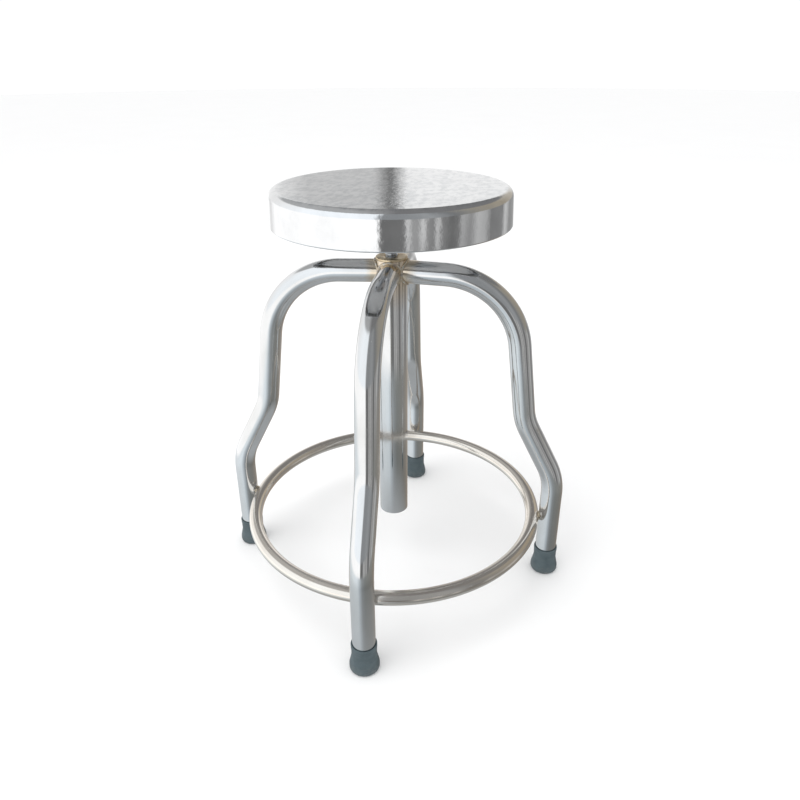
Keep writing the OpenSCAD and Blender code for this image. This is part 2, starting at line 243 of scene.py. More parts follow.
def bend_leg(number):
    work = bmesh.new()
    straight = work.verts.layers.float_vector.new("straight")
    ring = bmesh.ops.create_circle(work, cap_ends=False, radius=leg_radius * MM,
                                   segments=leg_sides)["verts"]
    for vert in ring:
        vert[straight] = Vector((vert.co.x, vert.co.y, number * 0.9))
    bmesh.ops.rotate(work, verts=ring, cent=(0, 0, 0),
                     matrix=Matrix.Rotation(math.pi / 2 + top_slope, 3, "Y"))
    bmesh.ops.translate(work, verts=ring, vec=(0, 0, hub_height * MM))
    edges = work.edges[:]
    coped = (tube_radius - cope_depth) * MM
    for vert in ring:
        travel = math.sqrt(coped ** 2 - vert.co.y ** 2) - vert.co.x
        vert.co += Vector((travel, 0, -travel * math.tan(top_slope)))
    end = Vector((0, 0, hub_height * MM))
    dip = top_slope
    first = True
    for run, radius, next_dip in leg_bends:
        heading = Vector((math.cos(dip), 0, -math.sin(dip)))
        target = end + heading * run * MM
        if first:
            edges = stretch_tube(work, edges, straight, heading * 0.001, None, None, 0.0)
            rim = {v for e in edges for v in e.verts}
            for vert in rim:
                travel = (target - vert.co).dot(heading)
                vert.co += heading * travel
                vert[straight] = Vector((vert[straight].x, vert[straight].y, vert[straight].z + run * MM))
            first = False
        else:
            edges = stretch_tube(work, edges, straight, heading * run * MM, None, None, run * MM)
        turn = next_dip - dip
        side = 1 if turn > 0 else -1
        inward = Vector((-math.sin(dip), 0, -math.cos(dip))) * side
        cent = target + inward * radius * MM
        steps = max(8, round(abs(math.degrees(turn)) / 2.5))
        for _ in range(steps):
            edges = stretch_tube(work, edges, straight, None, Matrix.Rotation(turn / steps, 3, "Y"), cent,
                                 radius * MM * abs(turn) / steps)
        end = cent + Matrix.Rotation(turn, 3, "Y") @ (target - cent)
        dip = next_dip
    drop = end.z - leg_end * MM
    edges = stretch_tube(work, edges, straight, Vector((0, 0, -drop)), None, None, drop)
    for normal in ((1, 1, 0), (1, -1, 0)):
        geometry = work.verts[:] + work.edges[:] + work.faces[:]
        bmesh.ops.bisect_plane(work, geom=geometry, dist=1e-6, plane_co=(0, 0, 0), plane_no=normal,
                               clear_inner=True)
    bmesh.ops.holes_fill(work, edges=[edge for edge in work.edges if edge.is_boundary], sides=0)
    bmesh.ops.triangulate(work, faces=[face for face in work.faces if len(face.verts) > 4])
    bmesh.ops.recalc_face_normals(work, faces=work.faces[:])
    quarter_turns(work, number)
    return work


leg_steel = buffed_tube_steel("buffed_leg_steel", "straight")
for number, side in enumerate(("right", "back", "left", "front")):
    finish_mesh(bend_leg(number), "bent_leg_" + side, leg_steel, "frame", ["leg_" + side])


# ---- Hub welds ----
# Rippled beads that run round each leg's end on the centre tube and up the mitres between
# the legs, left as welded apart from a light brush, with straw and blue heat colours.
def weld_metal():
    finish, nodes, links, shader = start_finish("welded_steel")
    where = nodes.new("ShaderNodeTexCoord").outputs["Object"]
    blotches = stretched_noise(nodes, links, where, (210, 210, 210), 4)
    grains = stretched_noise(nodes, links, where, (1700, 1700, 1700), 2)
    warm = blend_colours(nodes, links, remap(nodes, links, blotches, 0.38, 0.52, 0, 1),
                         (0.76, 0.73, 0.68), (0.70, 0.60, 0.45))
    burnt = blend_colours(nodes, links, remap(nodes, links, blotches, 0.56, 0.70, 0, 1), warm,
                          (0.42, 0.41, 0.46))
    links.new(burnt, shader.inputs["Base Color"])
    links.new(remap(nodes, links, grains, 0.3, 0.7, 0.20, 0.42), shader.inputs["Roughness"])
    links.new(raise_surface(nodes, links, grains, 0.00012, 0.5), shader.inputs["Normal"])
    shader.inputs["Metallic"].default_value = 1.0
    return finish


def lay_bead(work, path, radius, closed, sides=12, ripple=0.0):
    order = work.verts.layers.int.new("order")
    rim = bmesh.ops.create_circle(work, cap_ends=not closed, radius=1.0, segments=sides)["verts"]
    shape = [Vector(vert.co) for vert in rim]
    for number, vert in enumerate(rim):
        vert[order] = number
    ring = [edge for edge in {e for v in rim for e in v.link_edges}]
    count = len(path)
    for made, stop in enumerate(list(range(count)) + ([0] if closed else [])):
        ahead = path[(stop + 1) % count] if closed or stop + 1 < count else path[stop]
        behind = path[stop - 1] if closed or stop else path[stop]
        turn = (ahead - behind).to_track_quat("Z", "Y").to_matrix()
        size = radius[stop] if isinstance(radius, list) else radius
        size *= 1 + ripple * (1.0 if stop % 3 == 0 else -0.4)
        if made:
            grown = bmesh.ops.extrude_edge_only(work, edges=ring)["geom"]
            rim = [item for item in grown if isinstance(item, bmesh.types.BMVert)]
            ring = [item for item in grown
                    if isinstance(item, bmesh.types.BMEdge) and all(v in rim for v in item.verts)]
        for vert in rim:
            vert.co = path[stop] + turn @ (shape[vert[order]] * size)
    if closed:
        bmesh.ops.remove_doubles(work, verts=work.verts[:], dist=1e-6)
    else:
        bmesh.ops.holes_fill(work, edges=[edge for edge in work.edges if edge.is_boundary], sides=0)
    work.verts.layers.int.remove(order)
    bmesh.ops.recalc_face_normals(work, faces=work.faces[:])


def add_mesh(work, other, turn=None, shift=None):
    if turn is not None:
        bmesh.ops.rotate(other, verts=other.verts[:], cent=(0, 0, 0), matrix=turn)
    if shift is not None:
        bmesh.ops.translate(other, verts=other.verts[:], vec=shift)
    part = bpy.data.meshes.new("part")
    other.to_mesh(part)
    other.free()
    work.from_mesh(part)
    bpy.data.meshes.remove(part)


weld_steel = weld_metal()
leg_bead = 1.7
mitre_bead = 1.3
bead_lift = 0.5
leg_seat = (leg_radius + bead_lift) * MM
tube_seat = (tube_radius + bead_lift) * MM
around_leg = []
for step in range(168):
    angle = math.tau * step / 168
    beside = leg_seat * math.sin(angle)
    out = math.sqrt(tube_seat ** 2 - beside ** 2)
    middle = hub_height * MM - out * math.tan(top_slope)
    around_leg.append(Vector((out, beside, middle + leg_seat * math.cos(angle))))
up_mitre = []
for step in range(25):
    angle = math.radians(-30 + 60 * step / 24)
    out = (leg_radius + 0.1) * MM * math.cos(angle)
    up_mitre.append(Vector((out, out, (hub_height - 0.55) * MM + leg_radius * MM * math.sin(angle))))
hub_beads = bmesh.new()
for number in range(4):
    for path, size, closed in ((around_leg, leg_bead * MM, True), (up_mitre, mitre_bead * MM, False)):
        bead = bmesh.new()
        lay_bead(bead, path, size, closed, ripple=0.09)
        add_mesh(hub_beads, bead, Matrix.Rotation(number * math.pi / 2, 3, "Z"))
finish_mesh(hub_beads, "hub_weld_beads", weld_steel, "frame", ["leg_welds"])


# ---- Foot ring ----
# One hoop of thin stainless tube, rolled round, butt welded and buffed, that braces the
# legs from inside and takes the sitter's heels.
ring_low, ring_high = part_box("foot_ring")
ring_tube = (ring_high.z - ring_low.z) / 2
ring_out = ring_high.x - ring_tube
ring_height = (ring_high.z + ring_low.z) / 2
hoop = bmesh.new()
straight = hoop.verts.layers.float_vector.new("straight")
section = bmesh.ops.create_circle(hoop, cap_ends=False, radius=ring_tube, segments=40)["verts"]
bmesh.ops.rotate(hoop, verts=section, cent=(0, 0, 0), matrix=Matrix.Rotation(math.pi / 2, 3, "X"))
bmesh.ops.translate(hoop, verts=section, vec=(ring_out, 0, ring_height))
bmesh.ops.spin(hoop, geom=hoop.verts[:] + hoop.edges[:], cent=(0, 0, 0), axis=(0, 0, 1), angle=math.tau,
               steps=240, use_merge=True, use_duplicate=False)
bmesh.ops.recalc_face_normals(hoop, faces=hoop.faces[:])
for vert in hoop.verts:
    way_round = abs(math.atan2(vert.co.y, vert.co.x)) * ring_out
    vert[straight] = Vector((math.hypot(vert.co.x, vert.co.y) - ring_out, vert.co.z, 4.0 + way_round))
# The hoop's warm straw colour is a painted reflection: it stands for warm surroundings mirrored in the
# tube, not a tint of the metal.
hoop_steel = buffed_tube_steel("warm_reflection_tinted_hoop_steel", "straight", (0.88, 0.835, 0.775),
                               (0.79, 0.73, 0.655), 0.05)
finish_mesh(hoop, "foot_hoop", hoop_steel, "frame", ["foot_ring"])


# ---- Ring welds ----
# A short rippled bead round each place where the hoop lies against a leg, laid from above
# and below into the narrow gap between the two tubes.
bead_across = 5.4
bead_rise = 4.9
bead_fill = 1.0
ring_beads = bmesh.new()
for number in range(4):
    path, sizes = [], []
    for step in range(48):
        angle = math.tau * step / 48
        beside = bead_across * MM * math.cos(angle)
        rise = bead_rise * MM * math.sin(angle)
        leg_face = foot_out - math.sqrt((leg_radius * MM) ** 2 - beside ** 2)
        hoop_face = math.sqrt(ring_out ** 2 - beside ** 2) + math.sqrt(ring_tube ** 2 - rise ** 2)
        path.append(Vector(((leg_face + hoop_face) / 2, beside, ring_height + rise)))
        sizes.append((leg_face - hoop_face) / 2 + bead_fill * MM)
    bead = bmesh.new()
    lay_bead(bead, path, sizes, True, ripple=0.10)
    add_mesh(ring_beads, bead, Matrix.Rotation(number * math.pi / 2, 3, "Z"))
finish_mesh(ring_beads, "ring_weld_beads", weld_steel, "frame", ["ring_welds"])


# ---- Feet ----
# Moulded rubber ferrules pushed on to the legs' ends: a sleeve with a thicker lip, a base
# that swells out to the floor and a ring of tread under it. Steel washers lie inside.
def moulded_rubber():
    finish, nodes, links, shader = start_finish("foot_rubber")
    where = nodes.new("ShaderNodeTexCoord").outputs["Object"]
    speckle = stretched_noise(nodes, links, where, (900, 900, 900), 3)
    mottle = stretched_noise(nodes, links, where, (70, 70, 90), 4)
    scuffs = stretched_noise(nodes, links, where, (160, 160, 700), 4)
    parts = nodes.new("ShaderNodeSeparateXYZ")
    links.new(where, parts.inputs["Vector"])
    low_down = remap(nodes, links, parts.outputs["Z"], 0.001, 0.016, 1.0, 0.0)
    rubber = blend_colours(nodes, links, remap(nodes, links, mottle, 0.3, 0.7, 0, 1),
                           (0.066, 0.093, 0.104), (0.094, 0.126, 0.138))
    scuffed = combine(nodes, links, "MULTIPLY", remap(nodes, links, scuffs, 0.46, 0.62, 0, 1), low_down)
    dusty = blend_colours(nodes, links, combine(nodes, links, "MULTIPLY", scuffed, 0.6), rubber,
                          (0.21, 0.21, 0.20))
    links.new(dusty, shader.inputs["Base Color"])
    rough = combine(nodes, links, "ADD", remap(nodes, links, speckle, 0.3, 0.7, 0.46, 0.60),
                    combine(nodes, links, "MULTIPLY", scuffed, 0.2))
    links.new(rough, shader.inputs["Roughness"])
    grained = raise_surface(nodes, links, speckle, 0.00006, 0.45)
    links.new(raise_surface(nodes, links, mottle, 0.0003, 0.25, grained), shader.inputs["Normal"])
    shader.inputs["Specular IOR Level"].default_value = 0.42
    return finish


rubber = moulded_rubber()
foot_top = foot_high.z / MM
foot_base = (foot_high.x - foot_low.x) / 2 / MM
sleeve_wall = 1.8
sleeve = leg_radius + sleeve_wall
mouth = leg_radius + 0.15
swell_low = 8.5
swell_high = 20.0
leg_stop = 8.0
lip = 5.0
for number, side in enumerate(("right", "back", "left", "front")):
    foot = bmesh.new()
    lathe(foot, [(0, 1.0), (6.2, 1.0), (7.0, 0.0), (10.4, 0.0), (11.2, 1.2), (13.4, 1.2), (14.2, 0.0),
                 (foot_base, 0.0), (foot_base, swell_low), (sleeve + 0.1, swell_high), (sleeve - 0.5, 21.6),
                 (sleeve - 0.4, foot_top - lip - 1), (sleeve, foot_top - lip), (sleeve, foot_top),
                 (mouth, foot_top), (mouth, leg_stop), (0, leg_stop)],
          [(corner, 0.3) for corner in range(1, 7)] + [(7, 4.2), (8, 7.0), (9, 1.2), (10, 1.2), (11, 1.0),
                                                       (12, 0.6), (13, 0.8), (14, 0.5), (15, 0.8)],
          around=96)
    bmesh.ops.translate(foot, verts=foot.verts[:], vec=(foot_out, 0, 0))
    quarter_turns(foot, number)
    finish_mesh(foot, "rubber_foot_" + side, rubber, "frame", ["foot_" + side])


def turned_steel(name, bright, dark, rough_low, rough_high, tint_scale=90):
    finish, nodes, links, shader = start_finish(name)
    where = nodes.new("ShaderNodeTexCoord").outputs["Object"]
    clouds = stretched_noise(nodes, links, where, (tint_scale, tint_scale, tint_scale), 4)
    lines = stretched_noise(nodes, links, where, (260, 260, 2600), 2)
    nicks = stretched_noise(nodes, links, where, (900, 900, 400), 2)
    links.new(blend_colours(nodes, links, remap(nodes, links, clouds, 0.32, 0.68, 0, 1), bright, dark),
              shader.inputs["Base Color"])
    rough = combine(nodes, links, "ADD", remap(nodes, links, clouds, 0.3, 0.7, rough_low, rough_high),
                    remap(nodes, links, nicks, 0.62, 0.74, 0.0, 0.12))
    links.new(rough, shader.inputs["Roughness"])
    links.new(raise_surface(nodes, links, lines, 0.00003, 0.35), shader.inputs["Normal"])
    shader.inputs["Metallic"].default_value = 1.0
    return finish


plain_steel = turned_steel("zinc_plated_steel", (0.74, 0.755, 0.78), (0.60, 0.62, 0.65), 0.26, 0.42)
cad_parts["foot_washers"].data.materials.clear()
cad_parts["foot_washers"].data.materials.append(plain_steel)


# ---- Lift nut and end plug ----
# Turned brass nut pressed into the top of the centre tube until its flange meets the rim,
# and a pressed steel cup that closes the tube's lower end.
def turned_brass():
    finish, nodes, links, shader = start_finish("turned_brass")
    where = nodes.new("ShaderNodeTexCoord").outputs["Object"]
    tarnish = stretched_noise(nodes, links, where, (130, 130, 130), 4)
    lines = stretched_noise(nodes, links, where, (300, 300, 3200), 2)
    links.new(blend_colours(nodes, links, remap(nodes, links, tarnish, 0.36, 0.66, 0, 1),
                            (0.82, 0.69, 0.48), (0.62, 0.49, 0.32)), shader.inputs["Base Color"])
    links.new(remap(nodes, links, tarnish, 0.3, 0.7, 0.20, 0.40), shader.inputs["Roughness"])
    links.new(raise_surface(nodes, links, lines, 0.00004, 0.5), shader.inputs["Normal"])
    shader.inputs["Metallic"].default_value = 1.0
    return finish


nut_low, nut_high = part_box("lift_nut")
nut_bore = 8.05
countersink = 1.6
nut = bmesh.new()
lathe(nut, [(nut_bore, nut_low.z / MM), (tube_radius - tube_wall, nut_low.z / MM),
            (tube_radius - tube_wall, tube_top), (tube_radius, tube_top), (tube_radius, nut_high.z / MM),
            (nut_bore + countersink, nut_high.z / MM), (nut_bore, nut_high.z / MM - countersink)],
      [(0, 0.5), (1, 0.8), (3, 0.3), (4, 1.0), (5, 0.4), (6, 0.4)])
finish_mesh(nut, "brass_nut", turned_brass(), "frame", ["lift_nut"])

plug_low, plug_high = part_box("tube_end_plug")
plug_radius = plug_high.x / MM
plug_sheet = 1.5
plug = bmesh.new()
lathe(plug, [(0, plug_low.z / MM), (plug_radius, plug_low.z / MM), (plug_radius, plug_high.z / MM),
             (plug_radius - plug_sheet, plug_high.z / MM),
             (plug_radius - plug_sheet, plug_low.z / MM + plug_sheet), (0, plug_low.z / MM + plug_sheet)],
      [(1, 2.4), (2, 0.4), (3, 0.4), (4, 1.2)])
finish_mesh(plug, "pressed_end_cup", plain_steel, "frame", ["tube_end_plug"])


# ---- Lifting screw ----
# Steel bar with a deep four millimetre thread rolled along it, plain at the top where the
# seat is welded on and turned down at the bottom for the bush and its stop.
spindle_low, spindle_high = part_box("spindle")
crest = spindle_high.x / MM
groove = 2.0
root = crest - groove
pitch = 4.0
journal = 6.0
journal_top = 226.6
thread_top = 494.0
screw = bmesh.new()
turns = round((thread_top - journal_top) / pitch) + 3
start = journal_top - 1.3 * pitch
corners = [screw.verts.new((radius * MM, 0, (start + share * pitch) * MM)) for radius, share in
           ((crest, 0.0), (crest, 0.36), (root, 0.54), (root, 0.82), (crest, 1.0))]
for first, second in zip(corners, corners[1:]):
    screw.edges.new((first, second))
bmesh.ops.bevel(screw, geom=corners[1:4], offset=0.12 * MM, offset_type="OFFSET", segments=2, profile=0.5,
                affect="VERTICES", material=-1)
steps_a_turn = 40
bmesh.ops.spin(screw, geom=screw.verts[:] + screw.edges[:], cent=(0, 0, 0), axis=(0, 0, 1),
               dvec=(0, 0, pitch * MM / steps_a_turn), angle=math.tau, steps=steps_a_turn, use_merge=False,
               use_duplicate=False)
done = 1
while done < turns:
    copied = bmesh.ops.duplicate(screw, geom=screw.verts[:] + screw.edges[:] + screw.faces[:])["geom"]
    copied = [item for item in copied if isinstance(item, bmesh.types.BMVert)]
    bmesh.ops.translate(screw, verts=copied, vec=(0, 0, done * pitch * MM))
    done *= 2
bmesh.ops.remove_doubles(screw, verts=screw.verts[:], dist=2e-5)
for height, normal in ((journal_top, (0, 0, -1)), (thread_top, (0, 0, 1))):
    geometry = screw.verts[:] + screw.edges[:] + screw.faces[:]
    bmesh.ops.bisect_plane(screw, geom=geometry, dist=1e-6, plane_co=(0, 0, height * MM), plane_no=normal,
                           clear_outer=True)
bmesh.ops.holes_fill(screw, edges=[edge for edge in screw.edges if edge.is_boundary], sides=0)
bmesh.ops.triangulate(screw, faces=[face for face in screw.faces if len(face.verts) > 4])
bmesh.ops.recalc_face_normals(screw, faces=screw.faces[:])
overlap = 0.4
shank = bmesh.new()
lathe(shank, [(0, thread_top - overlap), (crest, thread_top - overlap), (crest, spindle_high.z / MM),
              (0, spindle_high.z / MM)],
      [(1, 0.4), (2, 0.5)], around=80)
add_mesh(screw, shank)
lower = bmesh.new()
lathe(lower, [(0, spindle_low.z / MM), (journal, spindle_low.z / MM), (journal, journal_top + overlap),
              (0, journal_top + overlap)],
      [(1, 0.6)], around=64)
add_mesh(screw, lower)
screw_steel = turned_steel("rolled_screw_steel", (0.50, 0.53, 0.56), (0.36, 0.38, 0.41), 0.20, 0.36, 60)
finish_mesh(screw, "lifting_screw", screw_steel, "seat", ["spindle"], sharp_from=25)


# ---- Bush and stop ----
# Nylon bush inside the tube round the turned-down end, and under it the washer, spring
# washer and bolt that catch the nut when the seat has been wound right up.
def moulded_nylon():
    finish, nodes, links, shader = start_finish("bush_nylon")
    where = nodes.new("ShaderNodeTexCoord").outputs["Object"]
    clouds = stretched_noise(nodes, links, where, (120, 120, 120), 3)
    lines = stretched_noise(nodes, links, where, (300, 300, 2400), 2)
    links.new(blend_colours(nodes, links, remap(nodes, links, clouds, 0.3, 0.7, 0, 1),
                            (0.78, 0.75, 0.66), (0.66, 0.61, 0.50)), shader.inputs["Base Color"])
    links.new(remap(nodes, links, lines, 0.3, 0.7, 0.35, 0.5), shader.inputs["Roughness"])
    links.new(raise_surface(nodes, links, lines, 0.00005, 0.4), shader.inputs["Normal"])
    shader.inputs["Subsurface Weight"].default_value = 0.1
    shader.inputs["Subsurface Scale"].default_value = 0.002
    return finish


dark_steel = turned_steel("blackened_steel", (0.16, 0.165, 0.175), (0.09, 0.092, 0.10), 0.32, 0.5)
for node, finish in (("guide_bush", moulded_nylon()), ("stop_washer", plain_steel),
                     ("spring_washer", dark_steel), ("stop_bolt", dark_steel),
                     ("flange_washers", plain_steel)):
    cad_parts[node].data.materials.clear()
    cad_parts[node].data.materials.append(finish)


# ---- Seat flange ----
# Round steel plate with a collar turned in one piece, slid over the screw's plain top and
# welded to it under the collar. Four hexagon screws hold it to the board.
flange_low, flange_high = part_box("seat_flange")
flange_radius = flange_high.x / MM
collar = 15.0
collar_bore = crest + 0.02
plate_thickness = 5.0
plate_bottom = flange_high.z / MM - plate_thickness
flange = bmesh.new()
lathe(flange, [(collar_bore, flange_low.z / MM), (collar, flange_low.z / MM), (collar, plate_bottom),
               (flange_radius, plate_bottom), (flange_radius, flange_high.z / MM),
               (collar_bore, flange_high.z / MM)],
      [(0, 0.4), (1, 1.0), (2, 3.0), (3, 1.2), (4, 0.8)])
finish_mesh(flange, "seat_plate", plain_steel, "seat", ["seat_flange"])

collar_bead = bmesh.new()
bead_circle = 9.1
collar_bead_radius = 1.6
bead_path = [Vector((bead_circle * MM * math.cos(math.tau * step / 90),
                     bead_circle * MM * math.sin(math.tau * step / 90),
                     flange_low.z - 1.1 * MM)) for step in range(90)]
lay_bead(collar_bead, bead_path, collar_bead_radius * MM, True, ripple=0.10)
finish_mesh(collar_bead, "collar_weld_bead", weld_steel, "seat", ["spindle_weld"])

screw_low, screw_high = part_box("flange_screws")
washer_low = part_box("flange_washers")[0]
head_depth = washer_low.z - screw_low.z
screw_circle = 42 * MM
screw_shaft = 2.9
head_face = 5.5
head_seat = 5.8
bolts = bmesh.new()
for number in range(4):
    bolt = bmesh.new()
    bmesh.ops.create_cone(bolt, cap_ends=True, cap_tris=False, segments=6, radius1=head_face * MM,
                          radius2=head_seat * MM, depth=head_depth)
    bmesh.ops.translate(bolt, verts=bolt.verts[:], vec=(0, 0, screw_low.z + head_depth / 2))
    bmesh.ops.bevel(bolt, geom=bolt.edges[:], offset=0.35 * MM, offset_type="OFFSET", segments=2,
                    profile=0.5, affect="EDGES", material=-1)
    shaft = bmesh.new()
    lathe(shaft, [(0, washer_low.z / MM - 0.2), (screw_shaft, washer_low.z / MM - 0.2),
                  (screw_shaft, screw_high.z / MM - 2), (0.6, screw_high.z / MM), (0, screw_high.z / MM)],
          [(2, 0.4)], around=32)
    add_mesh(bolt, shaft)
    add_mesh(bolts, bolt, Matrix.Rotation(0.3 + number, 3, "Z"))
    fresh = [vert for vert in bolts.verts if vert.co.to_2d().length < 0.02]
    direction = math.pi / 4 + number * math.pi / 2
    bmesh.ops.translate(bolts, verts=fresh, vec=(screw_circle * math.cos(direction),
                                                 screw_circle * math.sin(direction), 0))
finish_mesh(bolts, "hexagon_screws", dark_steel, "seat", ["flange_screws"], sharp_from=25)


# ---- Backing board ----
# Disc of plywood that fills the pan under its top, sealed underneath with thin grey paint
# that lets the grain show, seven plies bare on its edge.
def painted_plywood():
    finish, nodes, links, shader = start_finish("painted_plywood")
    where = nodes.new("ShaderNodeTexCoord").outputs["Object"]
    parts = nodes.new("ShaderNodeSeparateXYZ")
    links.new(where, parts.inputs["Vector"])
    grain = stretched_noise(nodes, links, where, (9, 240, 240), 5)
    fibres = stretched_noise(nodes, links, where, (60, 1700, 1700), 3)
    figure = stretched_noise(nodes, links, where, (5, 34, 34), 3)
    ply = 0.00214
    plies = combine(nodes, links, "PINGPONG", parts.outputs["Z"], ply)
    banded = remap(nodes, links, plies, 0.0, ply, 0.0, 1.0)
    shape = nodes.new("ShaderNodeNewGeometry")
    facing = nodes.new("ShaderNodeSeparateXYZ")
    links.new(shape.outputs["Normal"], facing.inputs["Vector"])
    flatness = combine(nodes, links, "ABSOLUTE", facing.outputs["Z"], 0.0)
    on_edge = remap(nodes, links, flatness, 0.4, 0.7, 1.0, 0.0)
    ply_mix = combine(nodes, links, "MULTIPLY", banded, on_edge)
    face = blend_colours(nodes, links, remap(nodes, links, grain, 0.35, 0.65, 0, 1),
                         (0.50, 0.51, 0.52), (0.43, 0.44, 0.45))
    face = blend_colours(nodes, links, remap(nodes, links, figure, 0.4, 0.7, 0, 0.6),
                         face, (0.38, 0.385, 0.39))
    face = blend_colours(nodes, links, remap(nodes, links, fibres, 0.55, 0.75, 0, 0.5),
                         face, (0.33, 0.325, 0.31))
    links.new(blend_colours(nodes, links, ply_mix, face, (0.22, 0.19, 0.155)), shader.inputs["Base Color"])
    links.new(remap(nodes, links, fibres, 0.3, 0.7, 0.55, 0.75), shader.inputs["Roughness"])
    links.new(raise_surface(nodes, links, fibres, 0.00012, 0.5), shader.inputs["Normal"])
    return finish


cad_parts["backing_board"].data.materials.clear()
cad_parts["backing_board"].data.materials.append(painted_plywood())


# ---- Pan clips ----
# Six small angles of zinc plated strip, spot welded inside the pan's wall, that reach in
# under the board, each with one round-headed screw.
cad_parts["pan_clips"].data.materials.clear()
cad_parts["pan_clips"].data.materials.append(plain_steel)
clip_low, clip_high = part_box("clip_screws")
clip_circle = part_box("backing_board")[1].x / MM - 9.0
clip_face = clip_low.z / MM
recess_depth = 1.1
head_height = 2.4
clip_shaft = 2.0
heads = bmesh.new()
for number in range(6):
    head = bmesh.new()
    lathe(head, [(0, clip_face + recess_depth), (1.2, clip_face + recess_depth), (1.4, clip_face),
                 (3.0, clip_face), (4.0, clip_face + head_height), (clip_shaft, clip_face + head_height),
                 (clip_shaft, clip_high.z / MM - 2.0), (0.4, clip_high.z / MM), (0, clip_high.z / MM)],
          [(2, 0.2), (3, 1.6)], around=40)
    bmesh.ops.translate(head, verts=head.verts[:], vec=(clip_circle * MM, 0, 0))
    add_mesh(heads, head, Matrix.Rotation(number * math.pi / 3, 3, "Z"))
finish_mesh(heads, "clip_screw_set", dark_steel, "seat", ["clip_screws"])


# ---- Seat pan ----
# Shallow round pan spun from stainless sheet: a flat top, a rounded shoulder, a wall that
# flares a little and a bead rolled inwards along its lower edge. Mirror polished outside
# and then used, left satin inside as the sheet came.
def mirror_polish():
    finish, nodes, links, shader = start_finish("mirror_polished_pan")
    where = nodes.new("ShaderNodeTexCoord").outputs["Object"]
    parts = nodes.new("ShaderNodeSeparateXYZ")
    links.new(where, parts.inputs["Vector"])
    dents = stretched_noise(nodes, links, where, (34, 34, 30), 2)
    orange_peel = stretched_noise(nodes, links, where, (190, 190, 150), 3)
    smears = stretched_noise(nodes, links, where, (24, 40, 40), 5)
    reflection_mottle_noise = stretched_noise(nodes, links, where, (150, 75, 60), 6)
    wipes = stretched_noise(nodes, links, where, (30, 900, 300), 2, (0, 0, 0.5))
    rubs = stretched_noise(nodes, links, where, (700, 26, 300), 2, (0, 0, 0.25))
    scores = combine(nodes, links, "MAXIMUM", remap(nodes, links, wipes, 0.64, 0.72, 0, 1),
                     remap(nodes, links, rubs, 0.66, 0.74, 0, 1))
    rough = combine(nodes, links, "ADD", remap(nodes, links, smears, 0.38, 0.70, 0.025, 0.08),
                    combine(nodes, links, "MULTIPLY", scores, 0.08))
    tone = blend_colours(nodes, links, remap(nodes, links, smears, 0.3, 0.75, 0, 1),
                         (0.85, 0.855, 0.86), (0.74, 0.745, 0.75))
    shape = nodes.new("ShaderNodeNewGeometry")
    facing = nodes.new("ShaderNodeSeparateXYZ")
    links.new(shape.outputs["Normal"], facing.inputs["Vector"])
    upward = remap(nodes, links, facing.outputs["Z"], 0.80, 0.98, 0.10, 1.0)
    # The darker grey mottle on the upward faces is a painted reflection: it stands for a mottled grey room
    # mirrored in the flat top.
    painted_reflection_mottle = combine(nodes, links, "MULTIPLY", remap(nodes, links, reflection_mottle_noise, 0.42, 0.64, 0, 1), upward)
    tone = blend_colours(nodes, links, painted_reflection_mottle, tone, (0.60, 0.615, 0.63))
    unpolished = nodes.new("ShaderNodeAttribute")
    unpolished.attribute_name = "inside"
    satin = unpolished.outputs["Fac"]
    rough = combine(nodes, links, "ADD", rough, combine(nodes, links, "MULTIPLY", satin, 0.34))
    links.new(rough, shader.inputs["Roughness"])
    links.new(blend_colours(nodes, links, satin, tone, (0.84, 0.845, 0.85)), shader.inputs["Base Color"])
    shader.inputs["Metallic"].default_value = 1.0
    waved = raise_surface(nodes, links, dents, 0.0006, 0.30)
    peeled = raise_surface(nodes, links, orange_peel, 0.00022, 0.45, waved)
    links.new(raise_surface(nodes, links, scores, 0.00002, 0.35, peeled), shader.inputs["Normal"])
    return finish


pan_low, pan_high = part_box("seat_pan")
pan_bottom = pan_low.z / MM
pan_top = pan_high.z / MM
pan_radius = pan_high.x / MM
pan_sheet = 1.2
pan_bead = 3.4
pan_shoulder = 10.0
pan_flare = 1.94
wall_inset = 1.4
pan = bmesh.new()
lathe(pan, [(0, pan_top), (pan_radius - pan_flare, pan_top), (pan_radius, pan_bottom),
            (pan_radius - pan_bead, pan_bottom), (pan_radius - pan_bead, pan_bottom + pan_bead),
            (pan_radius - wall_inset, pan_bottom + pan_bead),
            (pan_radius - pan_flare - pan_sheet, pan_top - pan_sheet), (0, pan_top - pan_sheet)],
      [(1, pan_shoulder), (2, 1.7), (3, 1.6), (4, 0.8), (6, pan_shoulder - pan_sheet)], around=256)
inside = pan.verts.layers.float.new("inside")
for vert in pan.verts:
    outwards = vert.normal.to_2d().dot(vert.co.to_2d().normalized())
    under_top = vert.normal.z < -0.3 and vert.co.z > (pan_bottom + 2 * pan_bead) * MM
    vert[inside] = 1.0 if outwards < -0.3 or under_top else 0.0
finish_mesh(pan, "spun_pan", mirror_polish(), "seat", ["seat_pan"])


# ---- Floor and light ----
# A wide pale floor and a plain bright room. The steel sees the room as it is laid out round
# polished metal: white screens in front and to the left, dark cloth to the right and
# overhead, so that the round tubes show their shape.
floor_work = bmesh.new()
bmesh.ops.create_circle(floor_work, cap_ends=True, cap_tris=False, radius=14.0, segments=96)
floor_mesh = bpy.data.meshes.new("studio_floor")
floor_work.to_mesh(floor_mesh)
floor_work.free()
floor_finish, nodes, links, shader = start_finish("pale_floor")
where = nodes.new("ShaderNodeTexCoord").outputs["Object"]
links.new(blend_colours(nodes, links, stretched_noise(nodes, links, where, (2.5, 2.5, 2.5), 3),
                        (0.94, 0.94, 0.94), (0.965, 0.965, 0.965)), shader.inputs["Base Color"])
shader.inputs["Roughness"].default_value = 0.9
shader.inputs["Specular IOR Level"].default_value = 0.1
floor_mesh.materials.append(floor_finish)
floor = bpy.data.objects.new("studio_floor", floor_mesh)
bpy.context.scene.collection.objects.link(floor)
floor.visible_glossy = False

